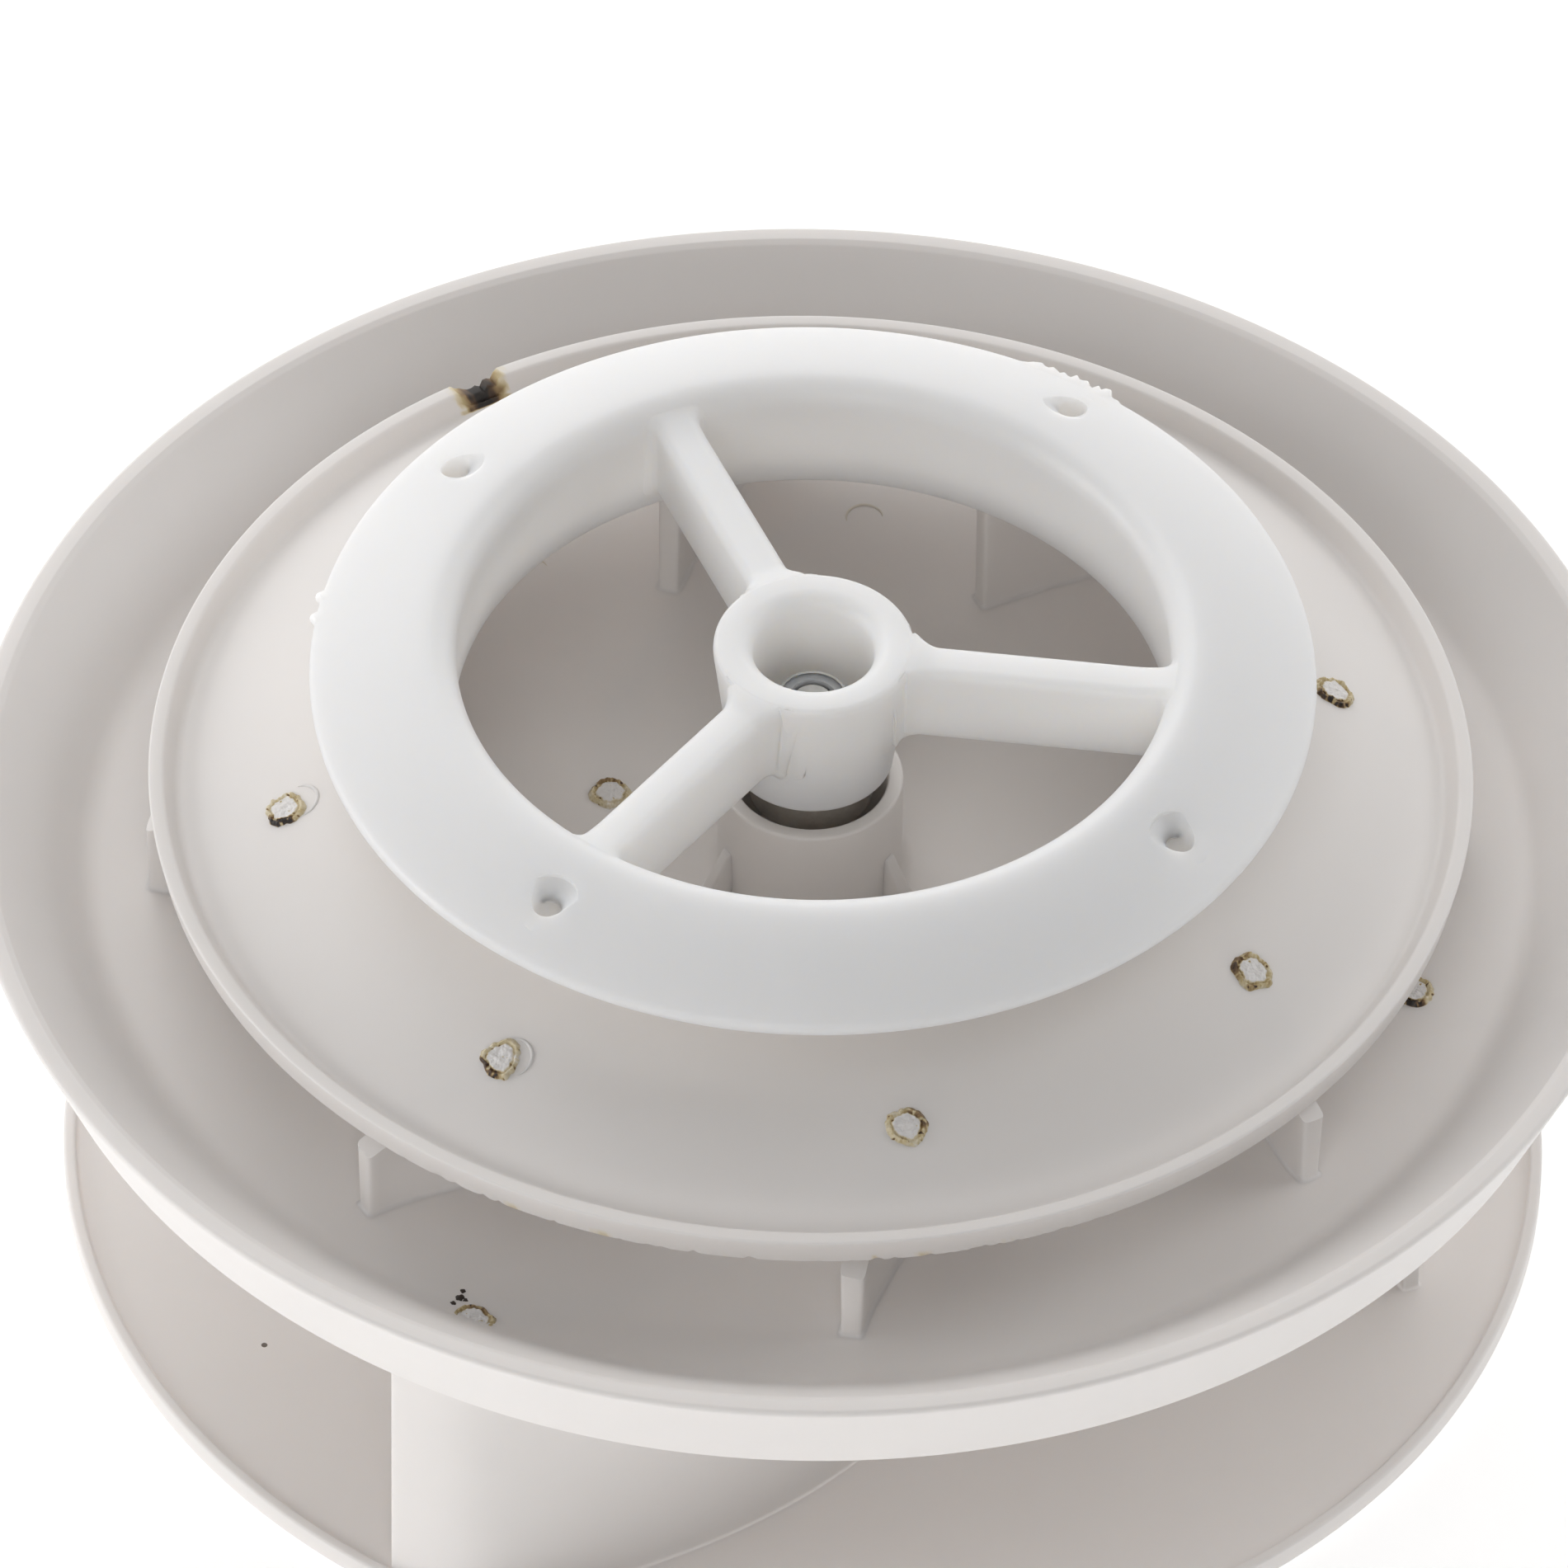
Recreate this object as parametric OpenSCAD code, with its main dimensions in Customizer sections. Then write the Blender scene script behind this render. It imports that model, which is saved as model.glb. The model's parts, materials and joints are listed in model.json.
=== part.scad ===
// Self-rotating round ceiling air diffuser.
// A fixed inlet ring with a spoked hub is screwed to the ceiling round the duct. A light rotor hangs
// below it on two ball bearings: supply air leaves between the upper vanes and turns it, and the
// lower vanes stir room air that enters through the eye of the bottom plate.
// Origin: centre of the ceiling screw circle, on the plane of the screw pads. +Z points up the duct.

/* [Inlet ring] */
// Radius of the air throat
throat_r = 62.8; // [62:0.1:63.4]
// Outer radius of the ceiling flange
flange_r = 88.6; // [87.6:0.2:90]
// Wall thickness of the inlet moulding
inlet_wall = 3; // [2.6:0.1:3.2]
// Height of the bell-mouth crest above the screw pads
crest_h = 5.4; // [4.6:0.2:6]
// Depth of the throat below the screw pads
throat_depth = 17.4; // [16:0.2:18]
// Diameter of the ceiling screw circle
screw_pcd = 157; // [155:0.5:159]
// Diameter of the ceiling screw holes
screw_hole_d = 5; // [4:0.1:5.4]
// Number of ceiling screws
screw_count = 4; // [4:1:4]
// Angle of the first ceiling screw
screw_angle = 55; // [50:1:60]

/* [Spokes and hub] */
// Number of spokes
spoke_count = 3; // [3:1:3]
// Angle of the first spoke
spoke_angle = 354; // [350:1:358]
// Width of a spoke
spoke_w = 8; // [7:0.1:8.6]
// Height of a spoke
spoke_h = 16.2; // [14.2:0.2:17]
// Height of the hub's top above the screw pads
hub_top_h = 3.9; // [3.6:0.1:4.4]
// Radius of the hub at its top shoulder
hub_top_r = 17.7; // [17:0.1:18.5]
// Radius of the hub at its lower end
hub_bottom_r = 14.35; // [14.2:0.05:15]
// Radius of the socket recess in the hub's top
recess_r = 10.6; // [10.2:0.1:10.9]

/* [Rotor] */
// Outer radius of the dish, the widest part of the object
rim_r = 150; // [149:0.5:152]
// Depth of the dish from rim to floor
dish_depth = 15; // [14:0.5:16]
// Drop from the screw pads to the dish's rim
rim_drop = 35; // [34.5:0.1:35.5]
// Wall thickness of the rotor mouldings
wall = 3; // [2.8:0.1:3.2]
// Outer radius of the shroud
shroud_r = 117.2; // [116.8:0.1:118]
// Outer radius of the bottom plate
bottom_r = 133.3; // [133:0.1:134]
// Radius of the room-air eye in the bottom plate
eye_r = 57; // [50:1:60]

/* [Vanes] */
// Number of upper vanes
upper_count = 8; // [8:1:8]
// Angle of the first upper vane's outer edge
upper_angle = 4.5; // [0:0.1:10]
// Thickness of an upper vane
upper_t = 4; // [3.2:0.1:4.2]
// Angle that an upper vane sweeps from its outer edge to its inner edge
upper_sweep = 17; // [12:0.5:20]
// Number of lower vanes, long and short by turns
lower_count = 4; // [4:1:4]
// Angle of the first lower vane's outer edge
lower_angle = 237.6; // [230:0.1:245]
// Thickness of a lower vane
lower_t = 3.2; // [2.6:0.1:3.4]
// Height of the lower vanes
lower_h = 66.5; // [60:0.5:70]

/* [Bearings and spindle] */
// Outer radius of a bearing
bearing_r = 11; // [11:0.1:11]
// Bore radius of a bearing
bore_r = 4; // [4:0.1:4]
// Width of a bearing
bearing_w = 7; // [7:0.1:7]
// Balls in a bearing
ball_count = 7; // [6:1:7]
// Length of the spindle bolt under its head
bolt_len = 45; // [44:0.5:45.5]

/* [Hidden] */
$fn = 96;
tiny = 0.01;

// Levels, measured from the plane of the screw pads
rim_z = -rim_drop;
floor_z = rim_z - dish_depth;
under_z = floor_z - wall;
plate_z = under_z - lower_h;
plate_bottom_z = plate_z - wall;
hub_bottom_z = -24;
bearing_top_z = hub_bottom_z + 6;
bearing_mid_z = bearing_top_z - bearing_w;
bearing_low_z = bearing_mid_z - bearing_w;
collar_top_z = rim_z + 6.5;

// Inlet ring: a domed flange that falls from a rounded crest to its outer edge
flange_edge_z = -3;
dome_power = 1.5;
crest_r = 67.5;
crest_round = crest_r - throat_r;
edge_round = 1.4;
pad_r = 4.4;
pad_boss_r = 5.4;
pad_boss_h = 4;
web_t = 3;
web_hole_r = 9.2;

// Spoke section
spoke_top_z = 2.8;
spoke_round = 1.6;

// Roundings of the hub's top, outside and into the recess
hub_round = 1.5;
recess_round = 3.2;

// Dish: rim lip, 45 degree inner wall, hollow skirt
rim_lip_w = 4.6;
slope_foot_r = 131;
floor_round_r = 126.5;
skirt_drop = 20.4;
skirt_r = rim_r - 8.4;
skirt_t = 2.6;
collar_r = 16.4;
collar_bore_r = 13.65;
collar_fillet = 2.5;
post_top_r = 6;
post_base_r = 8.5;
gusset_count = 3;
gusset_angle = 89;
gusset_out = 5;
gusset_h = 10;
gusset_t = 2.4;
bolt_hole_r = bore_r + 0.15;

// Shroud: upturned lip and a cone that rises to the eye
shroud_lip_z = rim_z + 8.3;
shroud_edge_z = rim_z + 2.7;
shroud_foot_r = 112;
shroud_foot_z = rim_z + 4.5;
shroud_slope = 0.428;
shroud_t = 2.6;
shroud_eye_r = 69.5;
shroud_eye_z = shroud_foot_z + shroud_slope * (shroud_foot_r - shroud_eye_r);

// Vanes
upper_tip_r = 117.2;
upper_root_r = 72.8;
upper_curve = 1.5;
upper_steps = 12;
upper_peg_r = 94;
vane_round = 1;

// Lower vanes: an arc along the rim, then a spiral that curls towards its root; arc and wrap in degrees
lower_tip_r = 129.3;
lower_short_r = 114.4;
lower_root_r = 36;
lower_arc = 6.6;
lower_bend = 1.3;
lower_wrap = 68;
lower_curl = 10.3;
lower_curl_r = 82;
lower_steps = 44;
lower_long_peg = 6.3;
lower_peg_inset = 3.3;
lower_root_peg_r = 39;
peg_r = 2.4;
peg_play = 0.2;
head_r = 3.7;
head_h = 1.2;

// Bottom plate lip
plate_lip_t = 2.1;
plate_lip_h = 1.6;

// Bearing insides
pitch_r = (bearing_r + bore_r) / 2;
ball_r = 1.985;
groove_r = 2.2;
outer_land_r = 9.6;
inner_land_r = 5.9;
race_round = 0.3;
shield_t = 0.3;
shield_inset = 0.35;
shield_gap = 0.3;
cage_t = 1.2;
cage_h = 5;
pocket_r = 2.07;

// Metric fasteners, size M8
hex_af = 13;
hex_head_h = 5.3;
nut_h = 6.3;
insert_h = 1.7;
insert_r = 5.6;
cup_r = 6.1;
washer_t = 1.6;
thin_washer_t = 1;
thin_washer_r = 5.9;
washer_r = 8;
bolt_head_z = under_z - washer_t;
nut_z = bearing_top_z + thin_washer_t;

// Colours
milky = [0.93, 0.93, 0.91];
abs_white = [0.86, 0.85, 0.84];
steel = [0.55, 0.56, 0.57];
zinc = [0.72, 0.73, 0.74];

// ---- Helpers ----

// Points on a circular arc in the section plane
function arc(cx, cz, r, a0, a1, n) = [
  for (i = [0:n]) let (a = a0 + (a1 - a0) * i / n) [cx + r * cos(a), cz + r * sin(a)]
];

// Point at a radius and an angle
function polar(r, a) = [r * cos(a), r * sin(a)];

// Both sides of a curved strip of thickness t, from its centre line's points
function side(pts, i, t) =
  let (a = pts[max(0, i - 1)], b = pts[min(len(pts) - 1, i + 1)], d = b - a, n = [-d[1], d[0]] / norm(d))
  pts[i] + n * t / 2;
function strip(pts, t) = concat(
  [for (i = [0:len(pts) - 1]) side(pts, i, t)],
  [for (i = [len(pts) - 1:-1:0]) side(pts, i, -t)]
);

// Height of the inlet ring's top face at radius r
function ring_top(r) =
  crest_h - (crest_h - flange_edge_z) * pow((r - crest_r) / (flange_r - crest_r), dome_power);

// Height of the shroud's top face at radius r, on its cone
function cone_top(r) = shroud_foot_z + shroud_slope * (shroud_foot_r - r);

// Ring between two radii and two levels
module tube(r_out, r_in, z_low, z_high) {
  translate([0, 0, z_low]) difference() {
    cylinder(r = r_out, h = z_high - z_low);
    translate([0, 0, -1]) cylinder(r = r_in, h = z_high - z_low + 2);
  }
}

module rounded_rect(w, h, r) {
  square([w - 2 * r, h], center = true);
  square([w, h - 2 * r], center = true);
  for (x = [-1, 1], z = [-1, 1]) {
    translate([x * (w / 2 - r), z * (h / 2 - r)]) circle(r = r, $fn = 32);
  }
}

module hexagon(af, h) {
  cylinder(r = af / 2 / cos(30), h = h, $fn = 6);
}

// ---- Fixed inlet ----

function throat_arc() = arc(crest_r, crest_h - crest_round, crest_round, 90, 180, 10);
function hub_side() = concat(
  [[hub_bottom_r - 0.8, hub_bottom_z], [hub_bottom_r, hub_bottom_z + 0.8]],
  arc(hub_top_r - hub_round, hub_top_h - hub_round, hub_round, 0, 90, 6)
);

module ring_section() {
  dome_steps = 14;
  edge_r = flange_r - edge_round;
  edge_z = ring_top(edge_r);
  top = [for (i = [0:dome_steps]) let (r = edge_r + (crest_r - edge_r) * i / dome_steps) [r, ring_top(r)]];
  polygon(concat(
    [[flange_r, edge_z - inlet_wall + 0.6], [flange_r, edge_z - edge_round]],
    arc(edge_r, edge_z - edge_round, edge_round, 15, 75, 4),
    top,
    throat_arc(),
    [[throat_r, -throat_depth + 0.8], [throat_r + 0.8, -throat_depth], [throat_r + inlet_wall, -throat_depth]],
    arc(crest_r, crest_h - crest_round, crest_round - inlet_wall, 180, 90, 5),
    [for (i = [dome_steps - 1:-1:0]) top[i] - [0, inlet_wall]],
    [[flange_r - 0.5, edge_z - inlet_wall]]
  ));
}

module inlet_ring() {
  color(milky) difference() {
    union() {
      rotate_extrude() ring_section();
      for (i = [0:screw_count - 1]) {
        rotate(screw_angle + 360 / screw_count * i) translate([screw_pcd / 2, 0, -pad_boss_h])
          cylinder(r = pad_boss_r, h = pad_boss_h, $fn = 48);
      }
    }
    for (i = [0:screw_count - 1]) {
      rotate(screw_angle + 360 / screw_count * i) translate([screw_pcd / 2, 0, 0]) {
        translate([0, 0, -2 * pad_boss_h]) cylinder(d = screw_hole_d, h = 4 * pad_boss_h, $fn = 48);
        cylinder(r = pad_r, h = 2 * pad_boss_h, $fn = 48);
      }
    }
  }
}

module hub() {
  color(milky) rotate_extrude() polygon(concat(
    [[web_hole_r, bearing_top_z], [bearing_r, bearing_top_z], [bearing_r, hub_bottom_z]],
    hub_side(),
    arc(recess_r + recess_round, hub_top_h - recess_round, recess_round, 90, 180, 8),
    [[recess_r, bearing_top_z + web_t], [web_hole_r, bearing_top_z + web_t]]
  ));
}

// Bar that ends on the hub's side and on the throat's wall
module spoke(i) {
  color(milky) rotate(spoke_angle + 360 / spoke_count * i) difference() {
    translate([recess_r, 0, spoke_top_z - spoke_h / 2]) rotate([90, 0, 90])
      linear_extrude(crest_r - recess_r) rounded_rect(spoke_w, spoke_h, spoke_round);
    rotate_extrude() polygon(concat([[0, hub_bottom_z]], hub_side(), [[0, hub_top_h]]));
    rotate_extrude() polygon(concat(
      [[rim_r, hub_bottom_z], [rim_r, crest_h]], throat_arc(), [[throat_r, hub_bottom_z]]
    ));
  }
}

// ---- Rotor mouldings ----

module dish_section() {
  inner_top_r = rim_r - rim_lip_w;
  polygon(concat([
    [collar_bore_r, floor_z], [collar_bore_r, collar_top_z], [collar_r - 0.4, collar_top_z],
    [collar_r, collar_top_z - 0.4]
  ], arc(collar_r + collar_fillet, floor_z + collar_fillet, collar_fillet, 180, 270, 6), [
    [floor_round_r, floor_z],
    [slope_foot_r, floor_z + 1.6], [inner_top_r, rim_z - 0.6], [inner_top_r + 0.8, rim_z],
    [rim_r - 1, rim_z], [rim_r, rim_z - 0.9], [skirt_r, rim_z - skirt_drop],
    [skirt_r - skirt_t, rim_z - skirt_drop], [rim_r - rim_lip_w + 0.6, rim_z - wall - 1.2],
    [slope_foot_r + 1, under_z + 1.2], [floor_round_r, under_z], [bolt_hole_r, under_z],
    [bolt_hole_r, bearing_low_z], [post_top_r, bearing_low_z], [post_base_r, floor_z]
  ]));
}

module gusset() {
  rotate([90, 0, 0]) translate([0, 0, -gusset_t / 2]) linear_extrude(gusset_t)
    polygon([
      [collar_r - 1, floor_z - 1], [collar_r + gusset_out, floor_z - 1], [collar_r + gusset_out, floor_z + 1],
      [collar_r + 0.6, floor_z + gusset_h], [collar_r - 1, floor_z + gusset_h]
    ]);
}

module dish() {
  color(abs_white) difference() {
    union() {
      rotate_extrude() dish_section();
      for (i = [0:gusset_count - 1]) rotate(gusset_angle + 360 / gusset_count * i) gusset();
    }
    for (i = [0:lower_count - 1], t = lower_pegs(i)) {
      translate(lower_point(i, t)) {
        translate([0, 0, under_z - 1]) cylinder(r = peg_r + peg_play, h = wall + 2, $fn = 32);
        translate([0, 0, floor_z]) cylinder(r = head_r + peg_play, h = 4, $fn = 32);
      }
    }
  }
}

module shroud_section() {
  polygon([
    [shroud_eye_r, shroud_eye_z - shroud_t], [shroud_eye_r, shroud_eye_z], [shroud_foot_r, shroud_foot_z],
    [shroud_r - 2.6, shroud_lip_z - 0.3], [shroud_r - 2.1, shroud_lip_z], [shroud_r - 0.5, shroud_lip_z],
    [shroud_r, shroud_lip_z - 0.5], [shroud_r - 0.9, shroud_edge_z],
    [shroud_foot_r + 0.4, shroud_edge_z - 0.6]
  ]);
}

module shroud() {
  color(abs_white) difference() {
    rotate_extrude() shroud_section();
    for (i = [0:upper_count - 1]) {
      rotate(upper_angle + 360 / upper_count * i + upper_turn(upper_peg_r)) translate([upper_peg_r, 0, rim_z])
        cylinder(r = peg_r + peg_play, h = 30, $fn = 32);
    }
  }
}

module bottom_plate() {
  lip_top_z = plate_z + plate_lip_h;
  color(abs_white) rotate_extrude() polygon([
    [eye_r, plate_bottom_z], [bottom_r - 0.8, plate_bottom_z], [bottom_r, plate_bottom_z + 0.8],
    [bottom_r, lip_top_z - 0.5], [bottom_r - 0.5, lip_top_z], [bottom_r - plate_lip_t + 0.3, lip_top_z],
    [bottom_r - plate_lip_t, lip_top_z - 0.3], [bottom_r - plate_lip_t, plate_z],
    [eye_r, plate_z]
  ]);
}

// ---- Vanes ----

function upper_turn(r) = upper_sweep * pow((upper_tip_r - r) / (upper_tip_r - upper_root_r), upper_curve);
function upper_line() = [
  for (k = [0:upper_steps])
    let (r = upper_tip_r - vane_round + (upper_root_r + 2 * vane_round - upper_tip_r) * k / upper_steps)
    polar(r, upper_turn(r))
];

// Upright wall along a line, which stops short of both ends by the radius of their corners
module vane_wall(line, t, h) {
  last = len(line) - 1;
  linear_extrude(h) {
    polygon(strip(line, t));
    wall_end(line[0], line[0] - line[1], t);
    wall_end(line[last], line[last] - line[last - 1], t);
  }
}

module wall_end(p, out, t) {
  flat = t / 2 - vane_round;
  translate(p) rotate(atan2(out[1], out[0])) {
    translate([-tiny, -flat]) square([vane_round + tiny, 2 * flat]);
    for (side = [-flat, flat]) translate([0, side]) circle(r = vane_round, $fn = 32);
  }
}

// Room under the shroud, where a vane may stand
module under_shroud() {
  rotate_extrude() polygon([
    [60, floor_z], [rim_r, floor_z], [rim_r, shroud_edge_z], [shroud_foot_r + 0.4, shroud_edge_z - 0.6],
    [shroud_eye_r, shroud_eye_z - shroud_t], [60, shroud_eye_z - shroud_t]
  ]);
}

module upper_vane(i) {
  color(abs_white) rotate(upper_angle + 360 / upper_count * i) {
    intersection() {
      translate([0, 0, floor_z]) vane_wall(upper_line(), upper_t, 40);
      under_shroud();
    }
    rotate(upper_turn(upper_peg_r)) translate([upper_peg_r, 0, 0])
      stake(cone_top(upper_peg_r) - 6, cone_top(upper_peg_r), atan(shroud_slope));
  }
}

// Along a lower vane, t is the angle from the long vanes' tips before the root's curl is added
function lower_radius(t) =
  lower_tip_r * exp(-lower_bend / lower_wrap * ln(1 + exp((t - lower_arc) / lower_bend)));
function lower_at(r) = lower_arc + lower_wrap * ln(lower_tip_r / r);
function lower_curled(r) = lower_curl * pow(max(0, (lower_curl_r - r) / (lower_curl_r - lower_root_peg_r)), 2);
function lower_point(i, t) =
  let (r = lower_radius(t)) polar(r, lower_angle + 360 / lower_count * i + t + lower_curled(r));
function lower_start(i) = i % 2 == 0 ? 0 : lower_at(lower_short_r);
function lower_pegs(i) = [
  i % 2 == 0 ? lower_long_peg : lower_at(lower_short_r - lower_peg_inset), lower_at(lower_root_peg_r)
];
function lower_line(i) = [
  for (k = [0:lower_steps])
    lower_point(i, lower_start(i) + (lower_at(lower_root_r) - lower_start(i)) * k / lower_steps)
];

module lower_vane(i) {
  color(abs_white) {
    translate([0, 0, plate_z]) vane_wall(lower_line(i), lower_t, lower_h);
    for (t = lower_pegs(i)) translate(lower_point(i, t)) stake(under_z - 1, floor_z, 0);
  }
}

// Peg with a head melted over the plate that it passes through; tilt leans the head outwards
module stake(z_low, z_plate, tilt) {
  translate([0, 0, z_low]) cylinder(r = peg_r, h = z_plate - z_low + head_h / 2, $fn = 32);
  translate([0, 0, z_plate]) rotate([0, tilt, 0]) rotate_extrude($fn = 32) polygon([
    [0, 0], [head_r, 0], [head_r, head_h * 0.4], [head_r - 0.9, head_h], [0, head_h]
  ]);
}

// ---- Bearings ----

module outer_race(z_low) {
  color(steel) translate([0, 0, z_low]) rotate_extrude() difference() {
    polygon([
      [outer_land_r, 0], [bearing_r - race_round, 0], [bearing_r, race_round],
      [bearing_r, bearing_w - race_round], [bearing_r - race_round, bearing_w], [outer_land_r, bearing_w]
    ]);
    translate([pitch_r, bearing_w / 2]) circle(r = groove_r, $fn = 48);
  }
}

module inner_race(z_low) {
  color(steel) translate([0, 0, z_low]) rotate_extrude() difference() {
    polygon([
      [bore_r + race_round, 0], [inner_land_r, 0], [inner_land_r, bearing_w],
      [bore_r + race_round, bearing_w], [bore_r, bearing_w - race_round], [bore_r, race_round]
    ]);
    translate([pitch_r, bearing_w / 2]) circle(r = groove_r, $fn = 48);
  }
}

module balls(z_low) {
  color(steel) for (i = [0:ball_count - 1]) {
    rotate(360 / ball_count * i) translate([pitch_r, 0, z_low + bearing_w / 2]) sphere(r = ball_r, $fn = 32);
  }
}

module cage(z_low) {
  mid_z = z_low + bearing_w / 2;
  color(zinc) difference() {
    tube(pitch_r + cage_t / 2, pitch_r - cage_t / 2, mid_z - cage_h / 2, mid_z + cage_h / 2);
    for (i = [0:ball_count - 1]) {
      rotate(360 / ball_count * i) translate([pitch_r, 0, mid_z]) sphere(r = pocket_r, $fn = 32);
    }
  }
}

module shields(z_low) {
  color(steel) {
    tube(outer_land_r, inner_land_r + shield_gap, z_low + shield_inset, z_low + shield_inset + shield_t);
    tube(outer_land_r, inner_land_r + shield_gap, z_low + bearing_w - shield_inset - shield_t,
      z_low + bearing_w - shield_inset);
  }
}

// ---- Spindle fasteners ----

module spindle_bolt() {
  color(zinc) {
    translate([0, 0, bolt_head_z - hex_head_h]) intersection() {
      hexagon(hex_af, hex_head_h);
      rotate_extrude() polygon([
        [0, 0], [hex_af / 2 - 0.3, 0], [hex_af / 2 + 1.1, 0.8], [hex_af / 2 + 1.1, hex_head_h], [0, hex_head_h]
      ]);
    }
    translate([0, 0, bolt_head_z - tiny]) rotate_extrude() polygon([
      [0, 0], [bore_r - 0.02, 0], [bore_r - 0.02, bolt_len - 0.8], [bore_r - 0.75, bolt_len + tiny],
      [0, bolt_len + tiny]
    ]);
  }
}

// Lock nut: a hexagon whose thin round cup holds a plastic insert
module spindle_nut() {
  color(zinc) translate([0, 0, nut_z]) {
    difference() {
      intersection() {
        hexagon(hex_af, nut_h);
        rotate_extrude() polygon([
          [0, 0], [hex_af / 2 + 1.1, 0], [hex_af / 2 + 1.1, nut_h - 0.7], [hex_af / 2 - 0.2, nut_h], [0, nut_h]
        ]);
      }
      translate([0, 0, -1]) cylinder(r = bore_r, h = nut_h + 2);
    }
    tube(cup_r, insert_r, nut_h - 0.5, nut_h + insert_h);
  }
}

module nut_insert() {
  color(milky) tube(insert_r, bore_r, nut_z + nut_h, nut_z + nut_h + insert_h);
}

module nut_washer() {
  color(zinc) tube(thin_washer_r, bore_r + 0.1, bearing_top_z, nut_z);
}

module head_washer() {
  color(zinc) tube(washer_r, bore_r + 0.2, bolt_head_z, bolt_head_z + washer_t);
}

// ---- Nodes ----

inlet_ring();
spoke(0);  // spoke_1
spoke(1);  // spoke_2
spoke(2);  // spoke_3
hub();
shroud();
dish();
bottom_plate();
upper_vane(0);  // upper_vane_1
upper_vane(1);  // upper_vane_2
upper_vane(2);  // upper_vane_3
upper_vane(3);  // upper_vane_4
upper_vane(4);  // upper_vane_5
upper_vane(5);  // upper_vane_6
upper_vane(6);  // upper_vane_7
upper_vane(7);  // upper_vane_8
lower_vane(0);  // lower_vane_1
lower_vane(1);  // lower_vane_2
lower_vane(2);  // lower_vane_3
lower_vane(3);  // lower_vane_4
outer_race(bearing_mid_z);  // upper_outer_race
inner_race(bearing_mid_z);  // upper_inner_race
balls(bearing_mid_z);  // upper_balls
cage(bearing_mid_z);  // upper_cage
shields(bearing_mid_z);  // upper_shields
outer_race(bearing_low_z);  // lower_outer_race
inner_race(bearing_low_z);  // lower_inner_race
balls(bearing_low_z);  // lower_balls
cage(bearing_low_z);  // lower_cage
shields(bearing_low_z);  // lower_shields
spindle_bolt();
spindle_nut();
nut_insert();
nut_washer();
head_washer();
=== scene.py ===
"""Looks of a self-rotating ceiling air diffuser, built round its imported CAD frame.

Lengths are in metres and named in millimetres times MM. Z levels hang from the CAD nodes' boxes.
"""
import json
import math
import random

import bmesh
import bpy
from mathutils import Matrix, Vector, noise


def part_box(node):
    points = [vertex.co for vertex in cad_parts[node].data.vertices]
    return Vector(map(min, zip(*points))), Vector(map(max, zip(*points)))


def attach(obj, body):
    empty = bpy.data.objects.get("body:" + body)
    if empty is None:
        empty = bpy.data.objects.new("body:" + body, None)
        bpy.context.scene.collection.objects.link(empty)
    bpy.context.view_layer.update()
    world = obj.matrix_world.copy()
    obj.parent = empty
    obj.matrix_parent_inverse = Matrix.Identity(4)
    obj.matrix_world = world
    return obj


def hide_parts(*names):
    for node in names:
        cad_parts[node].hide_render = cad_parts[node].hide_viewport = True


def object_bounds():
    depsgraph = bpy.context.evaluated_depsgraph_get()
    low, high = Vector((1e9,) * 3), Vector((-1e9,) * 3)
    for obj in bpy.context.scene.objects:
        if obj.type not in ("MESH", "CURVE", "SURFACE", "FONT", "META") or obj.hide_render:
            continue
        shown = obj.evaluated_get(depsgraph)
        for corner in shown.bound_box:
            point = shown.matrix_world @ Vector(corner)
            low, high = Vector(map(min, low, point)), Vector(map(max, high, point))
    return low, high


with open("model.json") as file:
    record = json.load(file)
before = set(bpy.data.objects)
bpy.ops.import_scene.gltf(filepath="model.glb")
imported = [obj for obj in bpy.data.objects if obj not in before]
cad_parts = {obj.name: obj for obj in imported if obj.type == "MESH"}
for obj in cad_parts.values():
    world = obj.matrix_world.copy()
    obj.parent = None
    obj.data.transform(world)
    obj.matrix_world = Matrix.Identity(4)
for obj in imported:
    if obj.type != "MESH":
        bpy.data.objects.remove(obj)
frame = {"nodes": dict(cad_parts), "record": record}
cad_low, cad_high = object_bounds()

MM = 0.001
TAU = 2 * math.pi

# ---- Levels and radii, from the frame ----

ring_low, ring_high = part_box("inlet_ring")
hub_low, hub_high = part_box("hub")
dish_low, dish_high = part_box("dish")
shroud_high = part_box("shroud")[1]
plate_low, plate_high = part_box("bottom_plate")
race_low, race_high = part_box("lower_outer_race")

PAD_Z = ring_high.z - 5.4 * MM
FLOOR_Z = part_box("upper_vane_1")[0].z
RIM_Z = FLOOR_Z + 15 * MM
PLATE_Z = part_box("lower_vane_1")[0].z
UNDER_Z = FLOOR_Z - 3 * MM
RIM_R = dish_high.y
COLLAR_TOP_Z = dish_high.z
SHROUD_R = shroud_high.x
LIP_Z = RIM_Z + 8.3 * MM
PLATE_R = plate_high.x
FLANGE_R = ring_high.y
HUB_TOP_Z = hub_high.z
HUB_BOTTOM_Z = hub_low.z
BEARING_TOP_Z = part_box("upper_outer_race")[1].z
BEARING_R = race_high.y

THROAT_R = 62.8 * MM
THROAT_Z = ring_low.z
CREST_R = 67.5 * MM
CREST_Z = ring_high.z
SHROUD_FOOT_R = 112 * MM
SHROUD_FOOT_Z = RIM_Z + 4.5 * MM
SHROUD_SLOPE = 0.428
SHROUD_EYE_R = 69.5 * MM
EYE_R = 57 * MM


# ---- Mesh helpers ----

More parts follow.
